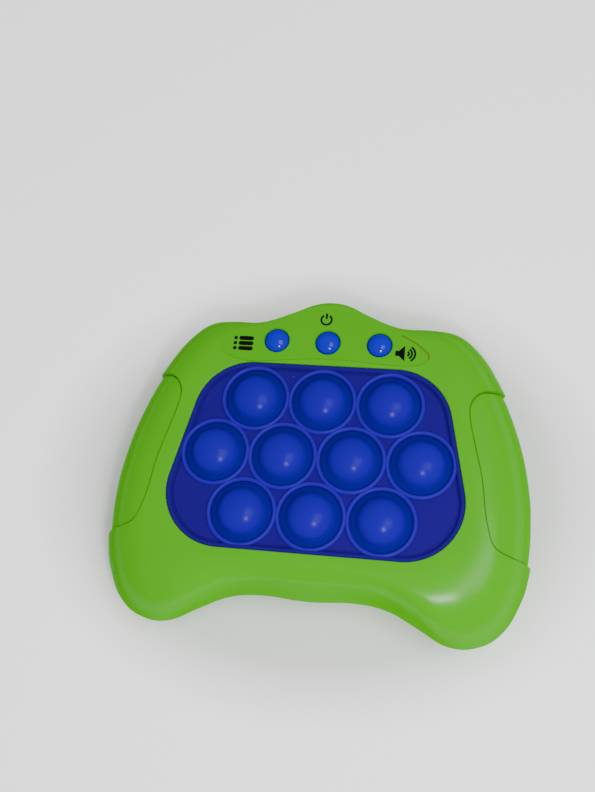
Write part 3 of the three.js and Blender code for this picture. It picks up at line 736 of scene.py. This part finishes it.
cell_line = [
    (0, -cell_half + crimp), (base_radius, -cell_half + crimp), (base_radius + crimp, -cell_half),
    (cell_radius - crimp, -cell_half), (cell_radius, -cell_half + crimp),
    (cell_radius, wrap_end), (cell_radius - crimp, cell_half - nub_length),
    (nub_radius, cell_half - nub_length), (nub_radius, cell_half - crimp),
    (nub_radius - crimp, cell_half), (0, cell_half),
]
cell_wrap, shader, place = new_finish("cell_wrap")
out = place.node("ShaderNodeMath", {0: place.along("X")}, operation="ABSOLUTE")
bare = ((out - wrap_end) * print_edge).limited()
band = ((out - band_start) * print_edge).limited()
scuff = place.noise(scale=500, detail=4)
wrap = band.mixed(wrap_black, band_grey)
feed(shader, Base_Color=bare.mixed(wrap, cell_steel), Roughness=scuff.spread(0.25, 0.45),
     Metallic=bare * (1 - band_metal) + band * band_metal,
     Normal=scuff.bump(strength=0.2, distance=0.00002))
for number, name in enumerate(cell_names):
    cell = turned("cell_" + str(number + 1), cell_line, Vector(), steps=48)
    bpy.ops.object.mode_set(mode="EDIT")
    bpy.ops.mesh.select_all(action="SELECT")
    turn = -math.pi / 2 if name == "battery_cell_2" else math.pi / 2
    bpy.ops.transform.rotate(value=turn, orient_axis="Y", center_override=(0, 0, 0))
    bpy.ops.transform.translate(value=middle_of(name))
    bpy.ops.object.mode_set(mode="OBJECT")
    smooth(cell)
    dress(cell, cell_wrap, "root")
    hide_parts(name)
spring_steel = moulded("spring_steel", spring_shade, spring_light, roughness=0.3, grain=2000,
                       depth=0.00001, Metallic=1.0)
finish_nodes(contact_names, spring_steel)


# Boards: green circuit boards, etched and lacquered. The main board carries the ten bubble switches and
# their lamps, and the small one, on two pins of the front shell, the switches of the push buttons.
track_scale = 140
track_wander = 9
track_from = 0.72
track_edge = 9
weave_share = 0.2
board_shade = (0.008, 0.1, 0.03, 1)
track_shade = (0.02, 0.2, 0.06, 1)

board_green, shader, place = new_finish("board_green")
tracks = place.node("ShaderNodeTexWave", {"Vector": place, "Scale": track_scale, "Detail": 0,
                                          "Distortion": track_wander, "Detail Scale": 0.3}, output=1)
copper = ((tracks - track_from) * track_edge).limited()
weave = place.noise(scale=1800, detail=2)
feed(shader, Base_Color=copper.mixed(board_shade, track_shade), Roughness=weave.spread(0.3, 0.45),
     Normal=(copper + weave * weave_share).bump(strength=0.3, distance=0.00004))
finish_nodes(["main_board", "button_board"], board_green)


# Switches: small push switches with a black body and a brown plunger, soldered to the boards.
switch_body = 3.55 * mm
plunger_brown = (0.16, 0.07, 0.03, 1)
bubble_switches = ["bubble_switch_" + str(number) for number in range(1, 11)]
button_switches = ["menu_switch", "power_switch", "sound_switch"]

for names in (bubble_switches, button_switches):
    body_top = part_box(names[0])[0].z + switch_body
    switch_black, shader, place = new_finish(names[0] + "_finish")
    grain = place.noise(scale=1600, detail=3)
    plunger = ((place.along("Z") - body_top) * print_edge).limited()
    feed(shader, Base_Color=plunger.mixed(paper_black, plunger_brown), Roughness=grain.spread(0.4, 0.6),
         Normal=grain.bump(strength=0.3, distance=0.00002))
    finish_nodes(names, switch_black)


# Guide plate and light guides: a white plate that carries the sheet, with a sleeve for each clear key
# cap, which lights up its bubble and passes the finger's push on to the switch.
plate_shade = (0.7, 0.7, 0.68, 1)
plate_light = (0.78, 0.78, 0.76, 1)
clear_shade = (0.75, 0.8, 0.84, 1)
clear_light = (0.85, 0.88, 0.9, 1)

guide_white = moulded("guide_white", plate_shade, plate_light, roughness=0.4, grain=1200, depth=0.00002)
finish_nodes(["guide_plate"], guide_white)
guide_clear = moulded("guide_clear", clear_shade, clear_light, roughness=0.2, grain=1200, depth=0.00001,
                      Transmission_Weight=0.7)
finish_nodes(["light_guide_" + str(number) for number in range(1, 11)], guide_clear)


# Bubble sheet: soft blue silicone, moulded in one piece with a raised border, a thin web and a round
# bead about each bubble. Its flange is held between the front shell and the guide plate.
web_height = 34.5 * mm
border_line = [(0, 35.3), (0.1, 35.55), (0.35, 35.7), (0.8, 35.75), (1.3, 35.6), (1.7, 35.2),
               (1.95, 34.6), (2.1, 34.15), (2.4, 34.05), (2.7, 34.3), (2.8, 34.5)]
bubble_hole = 12 * mm
bead_width = 1.9 * mm
bead_rise = 1.1 * mm
web_shade = (0.014, 0.0, 0.17, 1)
web_light = (0.024, 0.002, 0.22, 1)
bead_shade = (0.02, 0.0, 0.34, 1)
bead_light = (0.026, 0.0, 0.38, 1)
speck_colour = (0.5, 0.55, 0.6, 1)
flange_reach = 3 * mm
flange_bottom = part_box("bubble_sheet")[0].z
flange_top = face_height - shell_wall - fit_gap
drift_share = 0.7
dust_scale = 110
dust_size = 0.024
dust_edge = 200
bubble_names = ["bubble_" + str(number) for number in range(1, 11)]


def stacked(name, outline, steps):
    """A piece built up from an outline by steps inwards and up, capped at both ends."""
    rings = []
    for distance, height in steps:
        rings.append(sorted((Vector((*place.xy, height)) for place in widened(outline, -distance)),
                            key=turn_of))
    return loft(name, rings, closed=False)


border_top = max(height for _, height in border_line) * mm
steps = [(-flange_reach, flange_bottom), (-flange_reach, flange_top), (0, flange_top)]
steps += [(distance * mm, height * mm) for distance, height in border_line]
bubble_sheet = stacked("silicone_sheet", sheet_loop, steps)
for name in bubble_names:
    opening = cylinder("opening", middle_of(name), bubble_hole, flange_bottom - mm, border_top + mm,
                       steps=96)
    work(bubble_sheet, opening, "DIFFERENCE")
bead_blue = moulded("bead_blue", bead_shade, bead_light, roughness=0.4, grain=1500, depth=0.00001,
                    shine=0.5, IOR=1.04)
sheet_blue, shader, place = new_finish("sheet_blue", IOR=1.1)
speckle = place.noise(scale=900, detail=4)
drift = place.noise(scale=60, detail=2)
silicone = (drift * drift_share + speckle * (1 - drift_share)).mixed(web_shade, web_light)
dust = place.node("ShaderNodeTexVoronoi", {"Vector": place, "Scale": dust_scale}, output="Distance")
feed(shader, Base_Color=((dust_size - dust) * dust_edge).limited().mixed(silicone, speck_colour),
     Roughness=speckle.spread(0.55, 0.65), Normal=speckle.bump(strength=0.4, distance=0.00004))
bubble_sheet.data.materials.append(sheet_blue)
beads = []
for name in bubble_names:
    middle = middle_of(name)
    bpy.ops.object.select_all(action="DESELECT")
    bpy.ops.mesh.primitive_torus_add(location=(middle.x, middle.y, web_height),
                                     major_radius=bubble_hole + bead_width / 2,
                                     minor_radius=bead_width / 2, major_segments=96,
                                     minor_segments=20)
    bead = bpy.context.object
    bpy.ops.object.mode_set(mode="EDIT")
    bpy.ops.mesh.select_all(action="SELECT")
    bpy.ops.transform.resize(value=(1, 1, bead_rise * 2 / bead_width),
                             center_override=(middle.x, middle.y, web_height))
    bpy.ops.object.mode_set(mode="OBJECT")
    bpy.ops.object.transform_apply(location=True)
    bead.data.materials.append(bead_blue)
    beads.append(bead)
join(bubble_sheet, *beads)
smooth(bubble_sheet, angle=40)
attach(bubble_sheet, "root")
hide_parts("bubble_sheet")


# Bubbles: ten thin domes of the same silicone. Each has a flared foot that flexes in its opening of
# the sheet, so that the dome pops in under a finger and springs back.
dome_profile = [(0, 41), (2, 40.84), (4, 40.36), (6, 39.5), (7.4, 38.6), (8.5, 37.45), (9.2, 36.2),
                (9.6, 35.3), (10.0, 34.85), (10.5, 34.6), (11.1, 34.35), (11.5, 34.15), (11.95, 34)]
dome_wall = 0.8
dome_foot = 33.25 * mm
cap_start = 34.8 * mm
cap_fade = 0.7 * mm
dome_shine = 0.6
dome_colour = (0.014, 0.0, 0.36, 1)
shaded_skirt_colour = (0.008, 0.004, 0.22, 1)

outer = [(radius * mm, height * mm) for radius, height in dome_profile]
inner = [(max(radius - dome_wall, 0) * mm, max((height - dome_wall) * mm, dome_foot))
         for radius, height in dome_profile]
first = middle_of("bubble_1")
profile = smooth_profile(outer, steps=4) + list(reversed(smooth_profile(inner, steps=2)))
dome = turned("dome_1", profile, first, steps=96)
smooth(dome, angle=50)
bubble_blue, shader, place = new_finish("bubble_blue", IOR=1.04, Coat_IOR=1.22, Coat_Roughness=0.25)
speckle = place.noise(scale=1200, detail=3)
# Below the cap, the foot of each dome is darker and a little teal. This is partly its thinner silicone
# and partly painted shade in the moat, with a painted reflection tint.
cap = ((place.along("Z") - cap_start) / cap_fade).limited()
feed(shader, Base_Color=cap.mixed(shaded_skirt_colour, dome_colour), Roughness=speckle.spread(0.36, 0.46),
     Coat_Weight=gloss(place, dome_shine) * cap, Normal=speckle.bump(strength=0.2, distance=0.00002))
domes = [dome]
for number, name in enumerate(bubble_names[1:], 2):
    shift = middle_of(name) - first
    domes.append(copied(dome, "dome_" + str(number), (shift.x, shift.y, 0)))
for piece, name in zip(domes, bubble_names):
    low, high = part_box(name)
    middle = (low + high) / 2
    piece.data.materials.append(bubble_blue)
    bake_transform(piece)
    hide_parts(name)


# Push buttons: three glossy blue caps for menu, power and sound. Each is moulded with a flange that
# keeps it in the housing, and presses a small switch below.
button_low, button_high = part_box("power_button")
flange_radius = (button_high.x - button_low.x) / 2
button_profile = [(0, 0), (1.2, -0.11), (2.2, -0.38), (3.1, -0.8), (3.9, -1.3), (4.5, -1.8),
                  (4.82, -2.25), (4.9, -2.7)]
button_shade = (0.0, 0.002, 0.52, 1)
button_light = (0.0, 0.004, 0.56, 1)
button_uses = ("menu", "power", "sound")

cap_line = [(radius * mm, button_high.z + height * mm) for radius, height in button_profile]
profile = smooth_profile(cap_line, steps=5)
profile += [(button_radius, flange_top), (flange_radius, flange_top),
            (flange_radius, button_low.z), (0, button_low.z)]
first = middle_of("menu_button")
button = turned("menu_cap", profile, first)
smooth(button, angle=40)
button_blue = moulded("button_blue", button_shade, button_light, roughness=0.13, grain=900,
                      depth=0.00001, shine=1.0, IOR=1.02)
for use in button_uses:
    shift = middle_of(use + "_button") - first
    cap = button if use == "menu" else copied(button, use + "_cap", (shift.x, shift.y, 0))
    dress(cap, button_blue, use + "_button_body")
    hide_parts(use + "_button")


# Label film: a thin clear film with round holes for the buttons, stuck on the hump. Its print is three
# plain black signs: a list, a power ring and a loudspeaker.
sheet_top = 35.88 * mm
hump_room = half_length - sheet_top
label_shares = [
    (0.459, 0.087), (0.485, 0.176), (0.456, 0.282), (0.353, 0.455), (0.176, 0.663), (0, 0.755),
    (-0.118, 0.721), (-0.235, 0.594), (-0.359, 0.437), (-0.459, 0.344), (-0.506, 0.232),
    (-0.482, 0.087), (0, 0.087),
]
film_top = face_height + 0.3 * mm
ink_top = film_top + 0.04 * mm
label_rim = 0.45 * mm
brown_rim_from = (30.5 * mm, 40.5 * mm)
facing_up = 0.9
label_shade = (0.064, 0.385, 0.0, 1)
label_light = (0.07, 0.42, 0.001, 1)
edge_shade = (0.09, 0.1, 0.008, 1)
edge_light = (0.16, 0.16, 0.015, 1)
ink_shade = (0.004, 0.004, 0.004, 1)
ink_light = (0.008, 0.008, 0.008, 1)
stroke = 0.8
bar_round = 0.45
list_rows = (41.55, 43.8, 46.05)
list_bar = (6.1, 1.8)
list_dot = (1.5, 1.5)
bars_x, dots_x = -33.65, -38.1
power_x, power_y, power_radius = -1.5, 55.85, 2.15
power_start, power_sweep = 122, 296
power_bar_y, power_bar = 57.5, (0.85, 2.6)
cone_corners = [(27.5, 41.5), (28.9, 41.5), (31.3, 39.3), (31.3, 46.1), (28.9, 43.7), (27.5, 43.7)]
wave_x, wave_y = 32, 42.6
waves = [(0.95, 66), (2.2, 60), (3.45, 58)]


def rounded_bar(name, x, y, length, width):
    """A flat bar with round ends along X."""
    half = length / 2
    corners = [(-half, -width / 2), (half, -width / 2), (half, width / 2), (-half, width / 2)]
    places = rounded_loop([Vector(((x + dx) * mm, (y + dy) * mm, 0)) for dx, dy in corners],
                          min(length, width) * mm * bar_round, steps=6)
    return prism(name, places, film_top, ink_top)


def arc_band(name, x, y, radius, start, sweep):
    """A flat band on part of a circle, spun from one short edge, with its turns in degrees."""
    bpy.ops.object.select_all(action="DESELECT")
    bpy.ops.mesh.primitive_plane_add(size=mm, location=(0, 0, 0))
    piece = bpy.context.object
    piece.name = name
    out = Vector((math.cos(math.radians(start)), math.sin(math.radians(start)), 0))
    middle = Vector((x * mm, y * mm, film_top))
    bpy.ops.object.mode_set(mode="EDIT")
    bpy.ops.mesh.select_all(action="SELECT")
    bpy.ops.mesh.merge(type="CENTER")
    bpy.ops.transform.translate(value=middle + out * (radius - stroke / 2) * mm)
    bpy.ops.mesh.extrude_vertices_move(TRANSFORM_OT_translate={"value": out * stroke * mm})
    bpy.ops.mesh.select_all(action="SELECT")
    bpy.ops.mesh.spin(steps=32, angle=math.radians(-sweep), center=middle, axis=(0, 0, 1))
    bpy.ops.mesh.select_all(action="SELECT")
    bpy.ops.mesh.extrude_region_move(TRANSFORM_OT_translate={"value": (0, 0, ink_top - film_top)})
    finish_mesh()
    return piece


label_corners = [Vector((x * half_width, sheet_top + y * hump_room, 0)) for x, y in label_shares]
label = prism("label", smooth_loop(label_corners, outline_steps), face_height, film_top)
label.data.materials.append(moulded("label_clear", label_shade, label_light, roughness=0.17, grain=700,
                                    depth=0.00001, shine=0.9, IOR=1.02))
label.data.materials.append(moulded("label_edge", edge_shade, edge_light, roughness=0.4, grain=700,
                                    depth=0.00001, IOR=1.08))
bpy.ops.object.mode_set(mode="EDIT")
bpy.ops.mesh.select_all(action="DESELECT")
shape = bmesh.from_edit_mesh(label.data)
for face in shape.faces:
    if face.normal.z > facing_up:
        face.select_set(True)
bmesh.update_edit_mesh(label.data)
bpy.ops.mesh.inset(thickness=label_rim)
# The rim and side of the film towards its upper right corner are dark olive brown.
shape = bmesh.from_edit_mesh(label.data)
for face in shape.faces:
    spot = face.calc_center_median()
    if len(face.verts) == 4 and spot.x > brown_rim_from[0] and spot.y > brown_rim_from[1]:
        face.material_index = 1
bmesh.update_edit_mesh(label.data)
bpy.ops.object.mode_set(mode="OBJECT")
for use in button_uses:
    middle = middle_of(use + "_button")
    work(label, cylinder("hole", middle, button_radius + 2 * button_gap, face_height - mm,
                         film_top + mm), "DIFFERENCE")
smooth(label)
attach(label, "root")
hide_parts("label_film")

signs = []
for y in list_rows:
    signs.append(rounded_bar("bar", bars_x, y, *list_bar))
    signs.append(rounded_bar("dot", dots_x, y, *list_dot))
signs.append(arc_band("power_ring", power_x, power_y, power_radius, power_start, power_sweep))
signs.append(rounded_bar("power_bar", power_x, power_bar_y, *power_bar))
signs.append(prism("speaker_cone", [Vector((x * mm, y * mm, 0)) for x, y in cone_corners], film_top,
                   ink_top))
for radius, half_turn in waves:
    signs.append(arc_band("wave", wave_x, wave_y, radius, -half_turn, 2 * half_turn))
signs = join(*signs)
signs.name = "label_signs"
smooth(signs)
ink = moulded("ink", ink_shade, ink_light, roughness=0.45, grain=2000, depth=0.00001, IOR=1.08)
dress(signs, ink, "root")


# Battery door: a green plate in a recess of the back, with two ribs that keep the cells in place and a
# cupped lug whose screw keeps children out.
door_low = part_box("battery_door")[0].z
door_thickness = 1.8 * mm
rib_half = (0.8 * mm, 13.4 * mm)
rib_in = 2.2 * mm
rib_rise = 1.4 * mm
lug_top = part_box("battery_door")[1].z
lug_floor = 1.5 * mm
lug_cup = 2.5 * mm

door_ring, small_ring = (
    rectangle(well_middle, door_half[0] - room, door_half[1] - room, door_corner)
    for room in (0, edge_chamfer))
battery_door = loft("battery_cover", [level(small_ring, door_low),
                                      level(door_ring, door_low + edge_chamfer),
                                      level(door_ring, door_low + door_thickness)], closed=False)
for side in (-1, 1):
    rib_middle = Vector((side * (well_half[0] - rib_in), well_middle.y, 0))
    places = [rib_middle + Vector((x * rib_half[0], y * rib_half[1], 0))
              for x, y in ((-1, -1), (1, -1), (1, 1), (-1, 1))]
    rib = prism("rib", places, door_low + mm, door_low + door_thickness + rib_rise)
    work(battery_door, rib, "UNION")
work(battery_door, turned("lug", [
    (0, door_low), (lug_radius - edge_chamfer, door_low), (lug_radius, door_low + edge_chamfer),
    (lug_radius, lug_top), (0, lug_top)], lug_middle), "UNION")
work(battery_door, turned("lug_hole", [
    (0, 0), (lug_cup + edge_chamfer, 0), (lug_cup + edge_chamfer, door_low),
    (lug_cup, door_low + edge_chamfer), (lug_cup, lug_top - lug_floor), (lug_bore, lug_top - lug_floor),
    (lug_bore, lug_top + mm), (0, lug_top + mm)], lug_middle), "DIFFERENCE")
smooth(battery_door)
dress(battery_door, housing_green, "battery_door_body")
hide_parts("battery_door")


# Screws: six in the case and one in the battery door, all of plated steel with a rounded head and a
# cross recess.
head_shares = [(0, 0), (0.55, 0.06), (0.88, 0.24), (1, 0.5)]
seat_share = 0.65
shank_share = 0.46
tip_share = 0.4
cross_half = (0.52, 0.13)
cross_depth = 0.4
screw_shade = (0.42, 0.43, 0.45, 1)
screw_light = (0.6, 0.61, 0.63, 1)


def cross_screw(name, node):
    """A screw that stands on its head, with a cross cut into the head's crown."""
    low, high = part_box(node)
    middle = (low + high) / 2
    radius = (high.x - low.x) / 2
    seat = low.z + radius * seat_share
    shank = radius * shank_share
    head = [(radius * out, low.z + radius * up) for out, up in head_shares]
    profile = smooth_profile(head, steps=4)
    profile += [(radius, seat), (shank, seat), (shank, high.z - shank), (shank * tip_share, high.z),
                (0, high.z)]
    screw = turned(name, profile, middle, steps=40)
    for long_x, long_y in (cross_half, reversed(cross_half)):
        corners = [(-long_x, -long_y), (long_x, -long_y), (long_x, long_y), (-long_x, long_y)]
        places = [middle + Vector((x * radius, y * radius, 0)) for x, y in corners]
        work(screw, prism("slot", places, low.z - mm, low.z + radius * cross_depth), "DIFFERENCE")
    smooth(screw, angle=40)
    return screw


screw_steel = moulded("screw_steel", screw_shade, screw_light, roughness=0.3, grain=1800,
                      depth=0.00001, Metallic=1.0)
case_screw = cross_screw("screw_1", "case_screw_1")
first = middle_of("case_screw_1")
for number, node in enumerate(case_screws, 1):
    shift = middle_of(node) - first
    screw = case_screw if number == 1 else copied(case_screw, "screw_" + str(number), shift)
    dress(screw, screw_steel, "root")
    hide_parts(node)
door_screw = cross_screw("door_screw", "battery_door_screw")
dress(door_screw, screw_steel, "battery_door_body")
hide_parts("battery_door_screw")


# Studio: a pale paper floor that glows with painted light, left dark close round the game as a
# painted shadow that reaches further to the lower left, an even soft sky, a large soft light from
# the right, and a small lamp near the camera, whose reflection is the bright spot on each bubble and
# button.
floor_colour = (0.92, 0.92, 0.92, 1)
floor_size = 24
floor_glow = 0.8
floor_shadow_middle = (-3 * mm, -3 * mm, 0)
glow_start = 1.1
glow_width = 0.4
sky_strength = 0.62
sky_rim = (0.4, 0.4, 0.4, 1)
sky_rise = 1.6
white = (1, 1, 1, 1)
dark = (0, 0, 0, 1)
right_light_place = (0.5, -0.05, 1.15)
right_light_size = 0.6
right_light_power = 7
front_lamp_place = (0.087, -0.167, 0.34)
front_lamp_size = 0.045
front_lamp_power = 0.6


def area_lamp(name, place, size, power):
    """A square lamp that faces the game."""
    bpy.ops.object.select_all(action="DESELECT")
    bpy.ops.object.light_add(type="AREA", location=place)
    lamp = bpy.context.object
    lamp.name = name
    lamp.data.size = size
    lamp.data.energy = power
    lamp.rotation_euler = (-lamp.location).to_track_quat("-Z", "Y").to_euler()
    return lamp


bpy.ops.object.select_all(action="DESELECT")
bpy.ops.mesh.primitive_plane_add(size=floor_size, location=(0, 0, 0))
floor = bpy.context.object
floor.name = "floor"
paper, shader, place = new_finish("floor_paper", Base_Color=floor_colour, Specular_IOR_Level=0.1,
                                  Emission_Strength=floor_glow)
fibre = place.noise(scale=400, detail=3)
# The floor's glow is painted light. It fades to none near the game, a painted shadow whose middle lies
# a little below and left of the game.
reach = place.reach(floor_shadow_middle, (1 / half_width, 1 / half_length, 0))
glow = ((reach - glow_start) / glow_width).limited()
feed(shader, Roughness=fibre.spread(0.8, 0.9), Emission_Color=glow.mixed(dark, white))
floor.data.materials.append(paper)
world = bpy.data.worlds.new("studio")
bpy.context.scene.world = world
world.use_nodes = True
background = world.node_tree.nodes["Background"]
background.inputs["Strength"].default_value = sky_strength
towards = Shade(world.node_tree).node("ShaderNodeTexCoord", {}, output="Generated")
feed(background, Color=(towards.along("Z") * sky_rise).limited().mixed(sky_rim, white))
area_lamp("right_light", right_light_place, right_light_size, right_light_power)
area_lamp("front_lamp", front_lamp_place, front_lamp_size, front_lamp_power)
